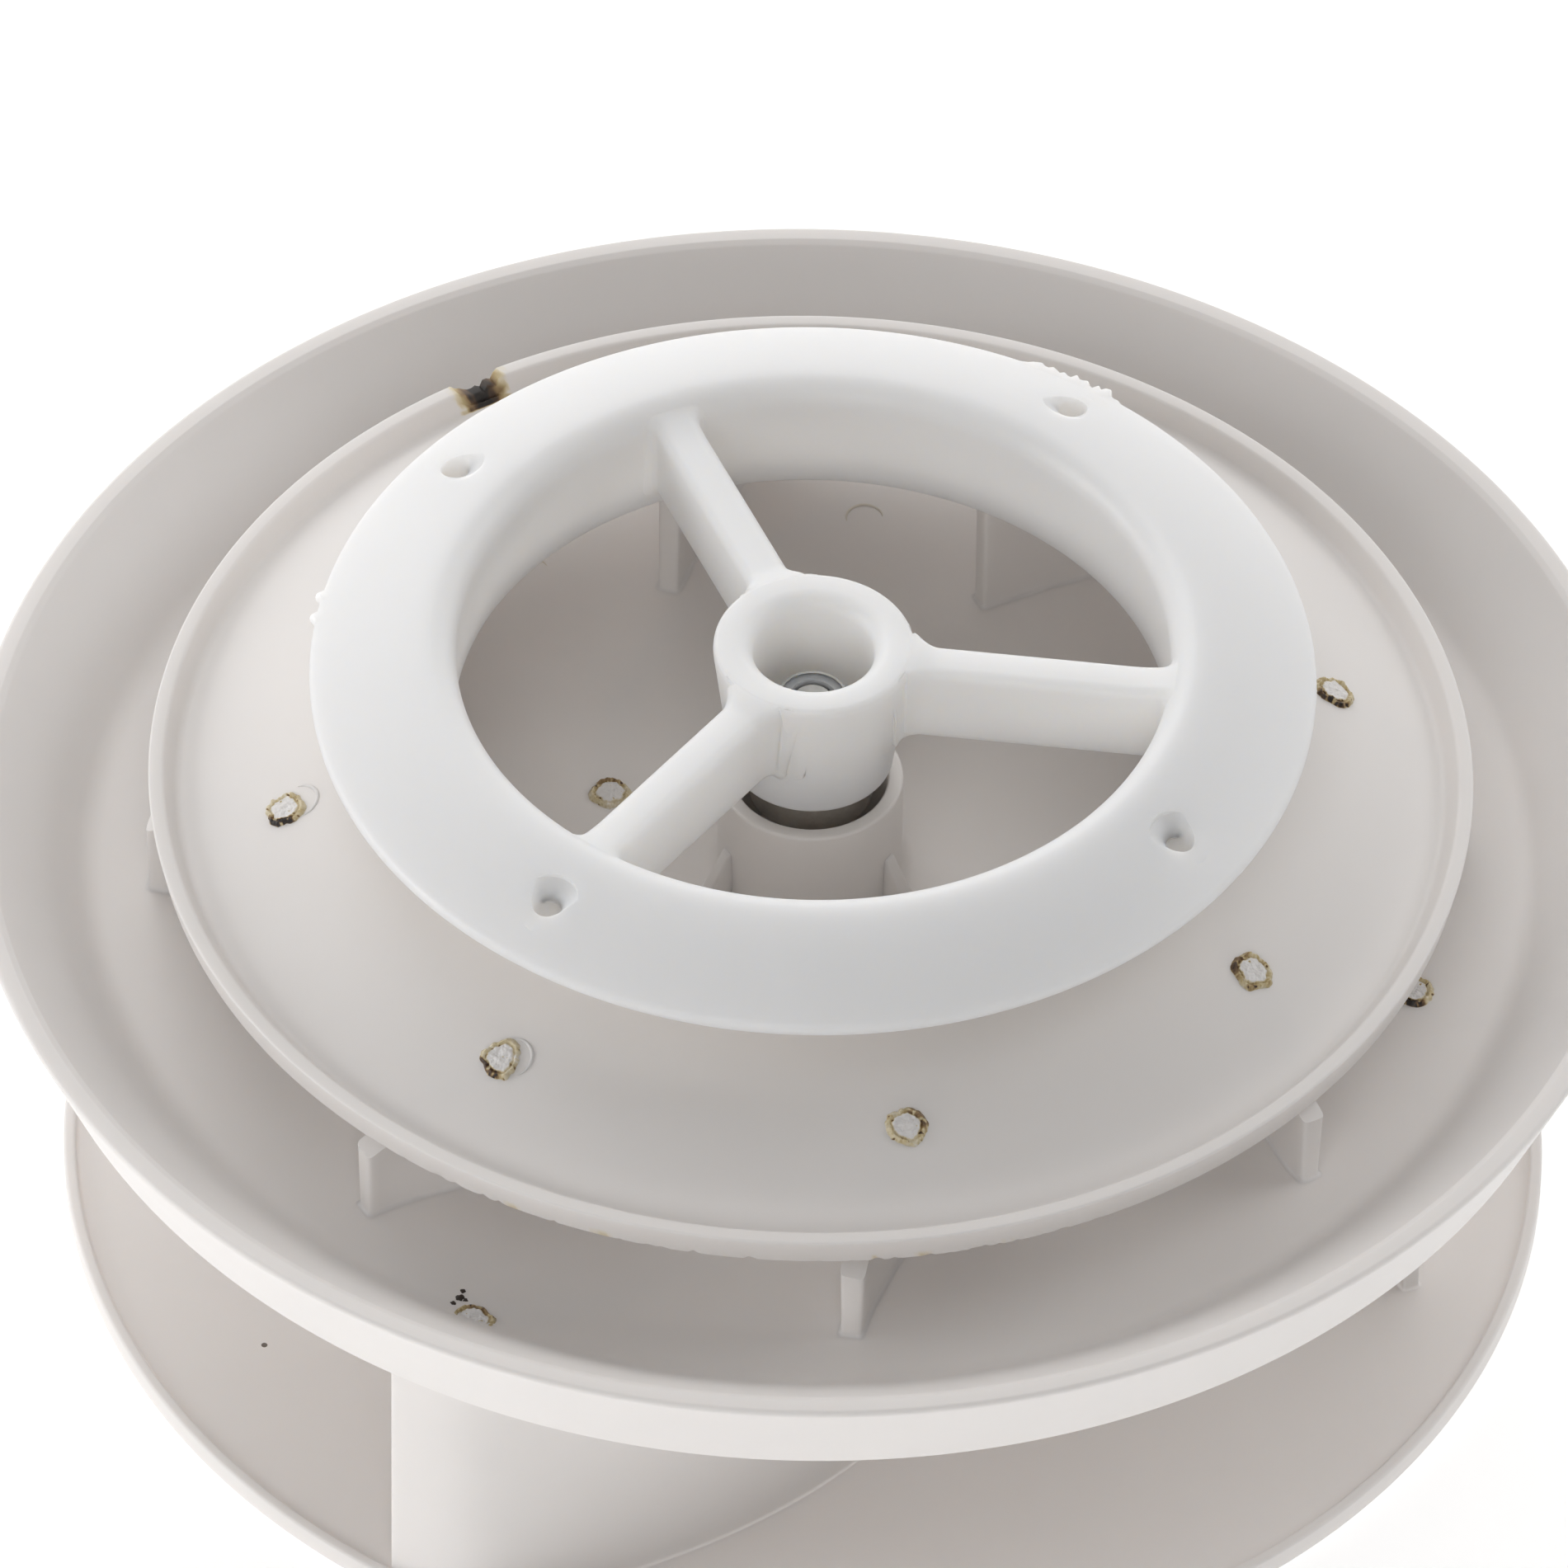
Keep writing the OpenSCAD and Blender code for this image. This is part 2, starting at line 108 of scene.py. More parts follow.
def make(name, verts, faces, smooth=30):
    """Links a mesh object; edges sharper than smooth degrees stay crisp."""
    mesh = bpy.data.meshes.new(name)
    mesh.from_pydata([tuple(v) for v in verts], [], faces)
    mesh.validate()
    obj = bpy.data.objects.new(name, mesh)
    bpy.context.scene.collection.objects.link(obj)
    tidy(obj, smooth)
    return obj


def tidy(obj, smooth=30):
    """Merges doubles, makes normals point out, and shades smooth up to an angle."""
    bm = bmesh.new()
    bm.from_mesh(obj.data)
    bmesh.ops.remove_doubles(bm, verts=bm.verts, dist=2e-6)
    bmesh.ops.recalc_face_normals(bm, faces=bm.faces)
    bm.to_mesh(obj.data)
    bm.free()
    obj.data.shade_smooth()
    obj.data.set_sharp_from_angle(angle=math.radians(smooth))


def rounded(corners, steps=5):
    """Closed outline from (r, z, fillet radius) corners, each turned into an arc."""
    out = []
    count = len(corners)
    for i, (r, z, fillet) in enumerate(corners):
        here = Vector((r, z))
        before = Vector(corners[i - 1][:2])
        after = Vector(corners[(i + 1) % count][:2])
        if fillet <= 0:
            out.append(here)
            continue
        u = (before - here).normalized()
        w = (after - here).normalized()
        half = u.angle(w) / 2
        reach = min(fillet / math.tan(half), 0.48 * (before - here).length, 0.48 * (after - here).length)
        start = here + u * reach
        end = here + w * reach
        centre = here + (u + w).normalized() * (reach / math.cos(half))
        a0 = math.atan2(start.y - centre.y, start.x - centre.x)
        a1 = math.atan2(end.y - centre.y, end.x - centre.x)
        turn = (a1 - a0 + math.pi) % TAU - math.pi
        radius = (start - centre).length
        for k in range(steps + 1):
            a = a0 + turn * k / steps
            out.append(centre + radius * Vector((math.cos(a), math.sin(a))))
    return out


def densify(outline, step):
    """Adds points so that no side of a closed outline is longer than step."""
    out = []
    for i, p in enumerate(outline):
        q = outline[(i + 1) % len(outline)]
        parts = max(1, math.ceil((q - p).length / step))
        out.extend(p.lerp(q, k / parts) for k in range(parts))
    return out


def lathe(name, outline, steps=384, shape=None, smooth=30):
    """Turns a closed (r, z) outline about Z. shape(r, z, angle) may return a moved (r, z)."""
    verts = []
    for k in range(steps):
        a = TAU * k / steps
        ca, sa = math.cos(a), math.sin(a)
        for p in outline:
            r, z = shape(p.x, p.y, a) if shape else (p.x, p.y)
            verts.append((r * ca, r * sa, z))
    n = len(outline)
    faces = []
    for k in range(steps):
        b = (k + 1) % steps
        for i in range(n):
            j = (i + 1) % n
            faces.append((k * n + i, b * n + i, b * n + j, k * n + j))
    return make(name, verts, faces, smooth)


def bar_faces(rows, around):
    """Faces of a closed bar whose points come row by row, with both ends capped."""
    faces = []
    for i in range(rows - 1):
        for k in range(around):
            j = (k + 1) % around
            faces.append((i * around + k, i * around + j, (i + 1) * around + j, (i + 1) * around + k))
    faces.append(tuple(reversed(range(around))))
    faces.append(tuple((rows - 1) * around + k for k in range(around)))
    return faces


def disc_faces(rings, around):
    """Faces of a disc whose points come ring by ring from its centre, closed underneath."""
    faces = [(k, around + k, around + (k + 1) % around) for k in range(around)]
    for i in range(1, rings):
        for k in range(around):
            j = (k + 1) % around
            faces.append((i * around + k, (i + 1) * around + k, (i + 1) * around + j, i * around + j))
    faces.append(tuple(rings * around + k for k in reversed(range(around))))
    return faces


def join(name, parts):
    """One object from several, keeping the first one's data."""
    bpy.ops.object.select_all(action="DESELECT")
    for p in parts:
        p.select_set(True)
    bpy.context.view_layer.objects.active = parts[0]
    bpy.ops.object.join()
    parts[0].name = name
    return parts[0]


def boolean(target, tool, operation):
    """Applies an exact boolean to target and deletes tool."""
    mod = target.modifiers.new("bool", "BOOLEAN")
    mod.object = tool
    mod.operation = operation
    mod.solver = "EXACT"
    depsgraph = bpy.context.evaluated_depsgraph_get()
    mesh = bpy.data.meshes.new_from_object(target.evaluated_get(depsgraph))
    target.modifiers.clear()
    old = target.data
    target.data = mesh
    bpy.data.meshes.remove(old)
    bpy.data.objects.remove(tool)


def paint_burn(obj, burns):
    """Stores how burnt each point is, from 0 to 1, for the plastics' scorch colours; on the ejector marks the value
    is painted shade.
    """
    layer = obj.data.attributes.new("burn", "FLOAT", "POINT")
    for item, burn in zip(layer.data, burns):
        item.value = burn


def turn_from(a, centre):
    """Signed turn from centre to the angle a, by the shorter way round."""
    return (a - centre + math.pi) % TAU - math.pi


def polar(r, a, z=0.0):
    return Vector((r * math.cos(a), r * math.sin(a), z))


def smoothstep(t):
    t = min(1.0, max(0.0, t))
    return t * t * (3 - 2 * t)


# ---- Camera: the photograph's angle, on a long lens ----

CAMERA_BACK = 2.25615
CAMERA_UP = 2.2218
CAMERA_PITCH = math.radians(44.51)
CAMERA_YAW = math.radians(-0.12)
CAMERA_ROLL = math.radians(1.18)
CAMERA_LENS_MM = 410.5


def add_camera():
    data = bpy.data.cameras.new("camera")
    data.sensor_width = 36
    data.lens = CAMERA_LENS_MM
    data.clip_end = 50
    camera = bpy.data.objects.new("camera", data)
    bpy.context.scene.collection.objects.link(camera)
    forward = Vector((math.sin(CAMERA_YAW) * math.cos(CAMERA_PITCH), math.cos(CAMERA_YAW) * math.cos(CAMERA_PITCH),
                      -math.sin(CAMERA_PITCH)))
    level = Vector((math.cos(CAMERA_YAW), -math.sin(CAMERA_YAW), 0))
    up = level.cross(forward)
    right = math.cos(CAMERA_ROLL) * level + math.sin(CAMERA_ROLL) * up
    top = -math.sin(CAMERA_ROLL) * level + math.cos(CAMERA_ROLL) * up
    turn = Matrix((right, top, -forward)).transposed().to_4x4()
    camera.matrix_world = Matrix.Translation((0, -CAMERA_BACK, RIM_Z + CAMERA_UP)) @ turn
    bpy.context.scene.camera = camera


add_camera()


# ---- Materials ----

class Nodes:
    """Short names for building a material's node tree."""

    def __init__(self, name):
        self.material = bpy.data.materials.new(name)
        self.material.use_nodes = True
        self.tree = self.material.node_tree
        self.shader = self.tree.nodes["Principled BSDF"]
        self.coords = self.tree.nodes.new("ShaderNodeTexCoord").outputs["Object"]

    def add(self, kind, **values):
        node = self.tree.nodes.new(kind)
        for key, value in values.items():
            setattr(node, key, value)
        return node

    def link(self, source, target):
        self.tree.links.new(source, target)

    def noise(self, scale, detail=3.0, roughness=0.5, coords=None):
        node = self.add("ShaderNodeTexNoise")
        node.inputs["Scale"].default_value = scale
        node.inputs["Detail"].default_value = detail
        node.inputs["Roughness"].default_value = roughness
        self.link(coords or self.coords, node.inputs["Vector"])
        return node.outputs["Fac"]

    def ramp(self, source, stops):
        node = self.add("ShaderNodeValToRGB")
        elements = node.color_ramp.elements
        while len(elements) < len(stops):
            elements.new(0.5)
        for element, (place, colour) in zip(elements, stops):
            element.position = place
            element.color = (*colour, 1) if isinstance(colour, tuple) else (colour, colour, colour, 1)
        self.link(source, node.inputs["Fac"])
        return node.outputs["Color"]

    def mix(self, factor, a, b):
        node = self.add("ShaderNodeMix", data_type="RGBA")
        for value, socket in ((factor, node.inputs[0]), (a, node.inputs[6]), (b, node.inputs[7])):
            if isinstance(value, bpy.types.NodeSocket):
                self.link(value, socket)
            elif isinstance(value, tuple):
                socket.default_value = (*value, 1)
            else:
                socket.default_value = value
        return node.outputs[2]

    def math(self, operation, a, b):
        node = self.add("ShaderNodeMath", operation=operation)
        for value, socket in zip((a, b), node.inputs):
            if isinstance(value, bpy.types.NodeSocket):
                self.link(value, socket)
            else:
                socket.default_value = value
        return node.outputs[0]

    def bump(self, height, strength, distance, below=None):
        node = self.add("ShaderNodeBump")
        node.inputs["Strength"].default_value = strength
        node.inputs["Distance"].default_value = distance
        self.link(height, node.inputs["Height"])
        if below is not None:
            self.link(below, node.inputs["Normal"])
        return node.outputs["Normal"]

    def specks(self, cell, size, chance):
        """Sparse dots: cell is their spacing's inverse, size their radius in cells, chance how few there are."""
        cells = self.add("ShaderNodeTexVoronoi")
        cells.inputs["Scale"].default_value = cell
        self.link(self.coords, cells.inputs["Vector"])
        near = self.math("LESS_THAN", cells.outputs["Distance"], size)
        split = self.add("ShaderNodeSeparateColor")
        self.link(cells.outputs["Color"], split.inputs[0])
        rare = self.math("GREATER_THAN", split.outputs[0], chance)
        return self.math("MULTIPLY", near, rare)

    def attribute(self, name):
        return self.add("ShaderNodeAttribute", attribute_name=name).outputs["Fac"]


def white_plastic(name, tint, shade, rough, glow, glow_radius, speck_chance):
    """Moulded white plastic: flow marks, fine grain, handling dust and a few dark specks."""
    n = Nodes(name)
    flow = n.noise(9, 4, 0.55)
    colour = n.ramp(flow, [(0.30, shade), (0.62, tint)])
    cloud = n.noise(38, 5, 0.6)
    colour = n.mix(n.ramp(cloud, [(0.50, 0.0), (0.75, 0.10)]), colour, tuple(c * 0.86 for c in shade))
    specks = n.specks(95, 0.055, speck_chance)
    colour = n.mix(specks, colour, (0.16, 0.13, 0.11))
    # Scorch colours from the burn attribute: real char on the melted heads, blobs, nick and lip smudges, painted
    # shade on the ejector marks.
    burn = n.attribute("burn")
    scorch = n.ramp(burn, [(0.0, 0.0), (0.12, 0.75), (0.30, 1.0)])
    burnt = n.ramp(burn, [(0.05, (0.80, 0.70, 0.49)), (0.24, (0.60, 0.49, 0.27)), (0.44, (0.33, 0.22, 0.10)),
                          (0.64, (0.11, 0.06, 0.03)), (0.86, (0.02, 0.015, 0.012))])
    colour = n.mix(scorch, colour, burnt)
    n.link(colour, n.shader.inputs["Base Color"])
    grain = n.noise(900, 3, 0.6)
    wear = n.noise(60, 6, 0.65)
    roughness = n.math("ADD", n.math("MULTIPLY", wear, 0.22), rough - 0.11)
    roughness = n.math("ADD", roughness, n.math("MULTIPLY", grain, 0.06))
    n.link(roughness, n.shader.inputs["Roughness"])
    waves = n.bump(n.noise(28, 2, 0.4), 0.10, 0.0012)
    n.link(n.bump(grain, 0.10, 0.00012, waves), n.shader.inputs["Normal"])
    n.shader.inputs["Subsurface Weight"].default_value = glow
    n.shader.inputs["Subsurface Radius"].default_value = (1.0, 0.92, 0.82)
    n.shader.inputs["Subsurface Scale"].default_value = glow_radius
    n.shader.inputs["IOR"].default_value = 1.5
    return n.material


def metal(name, colour, dark, rough, grain_scale):
    """Ground or plated steel with turning marks and slight tarnish."""
    n = Nodes(name)
    stretch = n.add("ShaderNodeMapping")
    stretch.inputs["Scale"].default_value = (1, 1, 30)
    n.link(n.coords, stretch.inputs["Vector"])
    lines = n.noise(grain_scale, 4, 0.6, stretch.outputs[0])
    tarnish = n.noise(180, 4, 0.6)
    n.link(n.mix(n.ramp(tarnish, [(0.35, 0.0), (0.75, 1.0)]), colour, dark), n.shader.inputs["Base Color"])
    n.link(n.math("ADD", n.math("MULTIPLY", lines, 0.22), rough - 0.1), n.shader.inputs["Roughness"])
    n.link(n.bump(lines, 0.12, 0.00008), n.shader.inputs["Normal"])
    n.shader.inputs["Metallic"].default_value = 1.0
    return n.material


NYLON = white_plastic("milky_nylon", (0.99, 0.965, 0.93), (0.975, 0.95, 0.915), 0.38, 1.0, 10 * MM, 0.985)
ABS = white_plastic("white_abs", (0.86, 0.829, 0.808), (0.835, 0.804, 0.783), 0.42, 0.30, 2.5 * MM, 0.95)
STEEL = metal("bearing_steel", (0.80, 0.78, 0.74), (0.60, 0.58, 0.55), 0.30, 500)
ZINC = metal("zinc_plate", (0.70, 0.70, 0.69), (0.50, 0.50, 0.48), 0.32, 300)


def dress(obj, material, body=None, stands_for=()):
    """Gives a piece its finish and its body, and hides the CAD nodes that it stands for."""
    obj.data.materials.clear()
    obj.data.materials.append(material)
    if body:
        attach(obj, body)
    if stands_for:
        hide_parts(*stands_for)
    return obj


# ---- Inlet ring, hub and spokes ----

SPOKE_START = 354
SPOKE_ANGLES = [math.radians(SPOKE_START + 120 * k) for k in range(3)]
SPOKE_TOP_Z = PAD_Z + 2.8 * MM
SPOKE_W = 8 * MM
SPOKE_H = 16.2 * MM
HUB_R = 17.7 * MM
HUB_LOW_R = 14.35 * MM
RECESS_R = 10.6 * MM
HUB_BORE_R = 9.2 * MM
SCREW_R = 78.5 * MM
SCREW_ANGLES = [math.radians(55 + 90 * k) for k in range(4)]
BOSS_R, BOSS_H = 5.3 * MM, 4.4 * MM
INLET_WALL = 3 * MM


def dome_z(r):
    """Height of the flange's domed top at a radius."""
    return CREST_Z - (CREST_Z - (PAD_Z - INLET_WALL)) * max(0.0, (r - CREST_R) / (FLANGE_R - CREST_R)) ** 1.5


def ring_outline():
    """Section of the inlet ring: domed flange, rounded crest and a slightly flared throat."""
    top = [(FLANGE_R - 1.2 * MM + (CREST_R - FLANGE_R + 1.2 * MM) * k / 16) for k in range(17)]
    points = [Vector((r, dome_z(r))) for r in top]
    for k in range(1, 13):
        a = math.radians(90 + 90 * k / 12)
        rad = CREST_R - THROAT_R
        points.append(Vector((CREST_R + rad * math.cos(a), CREST_Z - rad + rad * math.sin(a))))
    points += [Vector((THROAT_R + 0.15 * MM, THROAT_Z + 5 * MM)), Vector((THROAT_R + 0.45 * MM, THROAT_Z + 1 * MM)),
               Vector((THROAT_R + 0.8 * MM, THROAT_Z + 0.25 * MM)), Vector((THROAT_R + 1.4 * MM, THROAT_Z)),
               Vector((THROAT_R + 2.6 * MM, THROAT_Z)), Vector((THROAT_R + 3 * MM, THROAT_Z + 0.5 * MM))]
    for k in range(7):
        a = math.radians(180 - 90 * k / 6)
        rad = CREST_R - THROAT_R - INLET_WALL
        points.append(Vector((CREST_R + rad * math.cos(a), CREST_Z - 4.7 * MM + rad * math.sin(a))))
    for r in reversed(top[:-1]):
        points.append(Vector((r, dome_z(r) - INLET_WALL)))
    edge_z = dome_z(FLANGE_R - 1.2 * MM)
    points += [Vector((FLANGE_R - 0.5 * MM, edge_z - 2.8 * MM)), Vector((FLANGE_R - 0.1 * MM, edge_z - 2.3 * MM)),
               Vector((FLANGE_R, edge_z - 1.6 * MM)), Vector((FLANGE_R - 0.15 * MM, edge_z - 0.9 * MM)),
               Vector((FLANGE_R - 0.6 * MM, edge_z - 0.3 * MM))]
    return points


def hub_outline():
    """Section of the hub: tapered side, rounded top, recess, and the seat of the outer races."""
    z = HUB_TOP_Z
    return rounded([
        (HUB_BORE_R, BEARING_TOP_Z, 0), (BEARING_R, BEARING_TOP_Z, 0), (BEARING_R, HUB_BOTTOM_Z, 0.2 * MM),
        (HUB_LOW_R, HUB_BOTTOM_Z, 0.9 * MM), (HUB_R, z - 1.6 * MM, 3 * MM), (HUB_R - 0.2 * MM, z, 1.7 * MM),
        (RECESS_R + 0.1 * MM, z, 3.1 * MM), (RECESS_R, BEARING_TOP_Z + 3 * MM, 1.2 * MM),
        (HUB_BORE_R, BEARING_TOP_Z + 3 * MM, 0.3 * MM)], 10)


def hub_wall_r(z):
    """Radius of the hub's side at a height."""
    low, high = HUB_BOTTOM_Z, HUB_TOP_Z - 1.6 * MM
    t = min(1.0, max(0.0, (z - low) / (high - low)))
    return HUB_LOW_R + (HUB_R - HUB_LOW_R) * t


def throat_wall_r(z):
    """Radius of the throat's wall at a height, over the rounded crest too."""
    rise = z - (CREST_Z - (CREST_R - THROAT_R))
    if rise <= 0:
        return THROAT_R
    return CREST_R - math.sqrt(max(0.0, (CREST_R - THROAT_R) ** 2 - rise ** 2))


def fillet(gap, radius):
    """How far a fillet of this radius stands out at a gap from the wall that it runs into."""
    if gap >= radius:
        return 0.0
    gap = max(0.0, gap)
    return radius - math.sqrt(max(0.0, radius ** 2 - (radius - gap) ** 2))


def spoke(angle):
    """Rounded bar with fillets where it meets hub and ring."""
    start, end = HUB_LOW_R - 1.0 * MM, THROAT_R + 2.4 * MM
    hub_fillet, ring_fillet, corner = 4.6 * MM, 2.0 * MM, 2.1 * MM
    along, around = 90, 8
    verts = []
    for i in range(along + 1):
        u = i / along
        x = start + (end - start) * (0.5 - 0.5 * math.cos(math.pi * u)) if 0 < i < along else (end if i else start)
        rise = 1.0 * MM * (1 - smoothstep((x - HUB_R + 1 * MM) / (5 * MM)))
        rise += 1.5 * MM * max(0.0, (x - 56 * MM) / (THROAT_R + 2.4 * MM - 56 * MM)) ** 2
        top, low = SPOKE_TOP_Z + rise, SPOKE_TOP_Z - SPOKE_H
        for cy, cz, a0 in ((1, 1, 0), (-1, 1, 90), (-1, -1, 180), (1, -1, 270)):
            mid_z = top - corner if cz > 0 else low + corner
            for k in range(around):
                a = math.radians(a0 + 90 * k / (around - 1))
                y0 = SPOKE_W / 2 - corner + corner * abs(math.cos(a))
                z = mid_z + corner * math.sin(a)
                y = y0
                for _ in range(6):
                    hub_gap = x - math.sqrt(max(0.0, hub_wall_r(z) ** 2 - y ** 2))
                    ring_gap = math.sqrt(max(0.0, throat_wall_r(z) ** 2 - y ** 2)) - x
                    y = y0 + max(fillet(hub_gap, hub_fillet), fillet(ring_gap, ring_fillet))
                low_gap = min(x - hub_wall_r(z), throat_wall_r(z) - x)
                drop = fillet(low_gap, 1.6 * MM) if cz < 0 else 0.0
                verts.append(Vector((x, cy * y, z - drop)))
    bar = make("spoke", verts, bar_faces(along + 1, 4 * around))
    bar.data.transform(Matrix.Rotation(angle, 4, "Z"))
    return bar


def screw_cutter(angle):
    """Screw hole with a shallow seat above it."""
    profile = [(0.0, -9), (2.4, -9), (2.4, 0.2), (2.5, 0.9), (2.8, 1.6), (3.3, 2.2), (4.1, 2.8), (5.2, 3.3),
               (5.2, 6.5), (0.0, 6.5)]
    outline = [Vector((max(r, 0.001) * MM, z * MM + PAD_Z)) for r, z in profile]
    cutter = lathe("cutter", outline, 40)
    cutter.data.transform(Matrix.Translation(polar(SCREW_R, angle)))
    return cutter


NIB_ANGLES = [math.radians(a) for a in (169.4, 172.9)]
RING_FLASH, RING_FLASH_HALF = math.radians(59), math.radians(7)


def ring_flash(r, z, a):
    """Moulding flash and two nibs left on the flange's outer edge."""
    if r < FLANGE_R - 0.9 * MM:
        return r, z
    away = abs(turn_from(a, RING_FLASH)) / RING_FLASH_HALF
    ragged = 0.5 + 0.9 * noise.noise(Vector((a * 55, 2.0, 0.0))) + 0.4 * noise.noise(Vector((a * 190, 7.0, 0.0)))
    out = 1.5 * MM * max(0.0, ragged) * smoothstep((1 - away) / 0.3)
    for nib in NIB_ANGLES:
        out += 1.1 * MM * math.exp(-(turn_from(a, nib) / math.radians(0.45)) ** 2)
    return r + out, z + 0.35 * out


def build_inlet():
    ring = lathe("inlet_ring", densify(ring_outline(), 1.4 * MM), 720, ring_flash)
    boolean(ring, lathe("hub", densify(hub_outline(), 2 * MM), 120), "UNION")
    for angle in SPOKE_ANGLES:
        boolean(ring, spoke(angle), "UNION")
    for angle in SCREW_ANGLES:
        boss = lathe("boss", [Vector((1e-6, -BOSS_H)), Vector((BOSS_R, -BOSS_H)), Vector((BOSS_R, 0)),
                              Vector((1e-6, 0))], 40)
        boss.data.transform(Matrix.Translation(polar(SCREW_R, angle, -0.2 * MM)))
        boolean(ring, boss, "UNION")
        boolean(ring, screw_cutter(angle), "DIFFERENCE")
    tidy(ring, 38)
    dress(ring, NYLON, "inlet", ["inlet_ring", "spoke_1", "spoke_2", "spoke_3", "hub"])


build_inlet()


# ---- Rotor plates ----

def wander(angle, seed, size):
    """Slow waviness round a moulding, in metres."""
    p = Vector((math.cos(angle) * 1.3, math.sin(angle) * 1.3, seed))
    return noise.noise(p) * size


COLLAR_R, COLLAR_BORE_R = 16.4 * MM, 13.65 * MM
GUSSET_ANGLES = [math.radians(89 + 120 * k) for k in range(3)]


def build_dish():
    """Dish with its flared wall, hollow skirt and bearing collar."""
    bolt_r = 4.15 * MM
    foot_r, round_r = 131 * MM, 126.5 * MM
    skirt_r = RIM_R - 8.4 * MM
    skirt_z = dish_low.z
    post_z = race_low.z
    outline = rounded([
        (COLLAR_BORE_R, FLOOR_Z, 0.8 * MM), (COLLAR_BORE_R, COLLAR_TOP_Z, 0.5 * MM),
        (COLLAR_R, COLLAR_TOP_Z, 0.6 * MM), (COLLAR_R, FLOOR_Z, 2.5 * MM), (round_r + 1.5 * MM, FLOOR_Z, 7 * MM),
        (RIM_R - 4.8 * MM, RIM_Z - 0.5 * MM, 1.4 * MM), (RIM_R - 3.6 * MM, RIM_Z, 0.8 * MM),
        (RIM_R, RIM_Z, 0.9 * MM), (skirt_r, skirt_z, 0.7 * MM), (skirt_r - 2.6 * MM, skirt_z, 0.7 * MM),
        (RIM_R - 4.2 * MM, RIM_Z - 4 * MM, 1.0 * MM), (foot_r + 0.5 * MM, UNDER_Z + 0.6 * MM, 4 * MM),
        (round_r - 3 * MM, UNDER_Z, 4 * MM), (bolt_r, UNDER_Z, 0.2 * MM), (bolt_r, post_z, 0.2 * MM),
        (6 * MM, post_z, 0.3 * MM), (8.5 * MM, FLOOR_Z, 0.8 * MM)], 8)

    def shape(r, z, a):
        far = smoothstep((r - 110 * MM) / (40 * MM))
        return r, z + wander(a, 2.0, 0.16 * MM) * far

    return lathe("dish_shell", densify(outline, 4 * MM), 480, shape)


def gusset(angle):
    """Triangular rib between collar and floor, with soft edges."""
    bm = bmesh.new()
    half = 1.2 * MM
    side = [(15.4, -0.6), (21.6, -0.6), (21.4, 1.0), (17.0, 9.6), (15.4, 10.0)]
    for y in (-half, half):
        for x, z in side:
            bm.verts.new((x * MM, y * (1.5 if z < 0 else 1.0), FLOOR_Z + z * MM))
    bm.verts.ensure_lookup_table()
    n = len(side)
    bm.faces.new([bm.verts[i] for i in range(n)])
    bm.faces.new([bm.verts[n + i] for i in reversed(range(n))])
    for i in range(n):
        j = (i + 1) % n
        bm.faces.new([bm.verts[j], bm.verts[i], bm.verts[n + i], bm.verts[n + j]])
    bmesh.ops.bevel(bm, geom=list(bm.edges), offset=0.5 * MM, segments=3, profile=0.5, affect="EDGES")
    mesh = bpy.data.meshes.new("gusset")
    bm.to_mesh(mesh)
    bm.free()
    obj = bpy.data.objects.new("gusset", mesh)
    bpy.context.scene.collection.objects.link(obj)
    tidy(obj, 40)
    obj.data.transform(Matrix.Rotation(angle, 4, "Z"))
    return obj


dish = join("dish_shell", [build_dish()] + [gusset(a) for a in GUSSET_ANGLES])
dress(dish, ABS, "rotor", ["dish"])

NICK_ANGLE, NICK_HALF = math.radians(122.4), math.radians(2.4)
CHIPPED_AT, SMUDGED_AT = math.radians(262), math.radians(264)
SHROUD_WALL = 2.6 * MM


def cone_z(r):
    """Height of the shroud's cone at a radius."""
    return SHROUD_FOOT_Z + SHROUD_SLOPE * (SHROUD_FOOT_R - r)


def build_shroud():
    """Shroud with its upturned lip, a burnt nick and a rough lower edge."""
    edge_z = RIM_Z + 2.7 * MM
    outline = rounded([
        (SHROUD_EYE_R, cone_z(SHROUD_EYE_R) - SHROUD_WALL, 0.6 * MM),
        (SHROUD_EYE_R, cone_z(SHROUD_EYE_R), 0.8 * MM),
        (SHROUD_FOOT_R, SHROUD_FOOT_Z, 1.6 * MM), (SHROUD_R - 2.7 * MM, LIP_Z, 0.9 * MM),
        (SHROUD_R, LIP_Z, 0.4 * MM), (SHROUD_R - 1.1 * MM, edge_z, 0.35 * MM),
        (SHROUD_FOOT_R + 0.4 * MM, edge_z - 0.6 * MM, 2.5 * MM)], 6)

    def shape(r, z, a):
        z += wander(a, 7.0, 0.12 * MM) * smoothstep((r - 90 * MM) / (25 * MM))
        if r > SHROUD_FOOT_R + 1.5 * MM and z < edge_z + 1.2 * MM:
            p = Vector((math.cos(a) * 60, math.sin(a) * 60, z * 900))
            chip = max(0.0, noise.noise(p) - 0.05) * smoothstep((math.cos(a - CHIPPED_AT) - 0.75) / 0.2)
            r -= chip * 0.7 * MM
            z += chip * 0.35 * MM
        away = abs(turn_from(a, NICK_ANGLE)) / NICK_HALF
        if away < 1 and r > SHROUD_FOOT_R + 1.2 * MM and z > RIM_Z + 4.6 * MM:
            jag = 0.75 + 0.5 * noise.noise(Vector((a * 160, z * 700, 1.0)))
            depth = (1 - away ** 2) * jag
            z -= depth * 2.3 * MM
            r -= depth * 1.2 * MM * smoothstep((r - SHROUD_FOOT_R) / (6 * MM))
        return r, z

    return lathe("shroud_cone", densify(outline, 2.2 * MM), 900, shape)


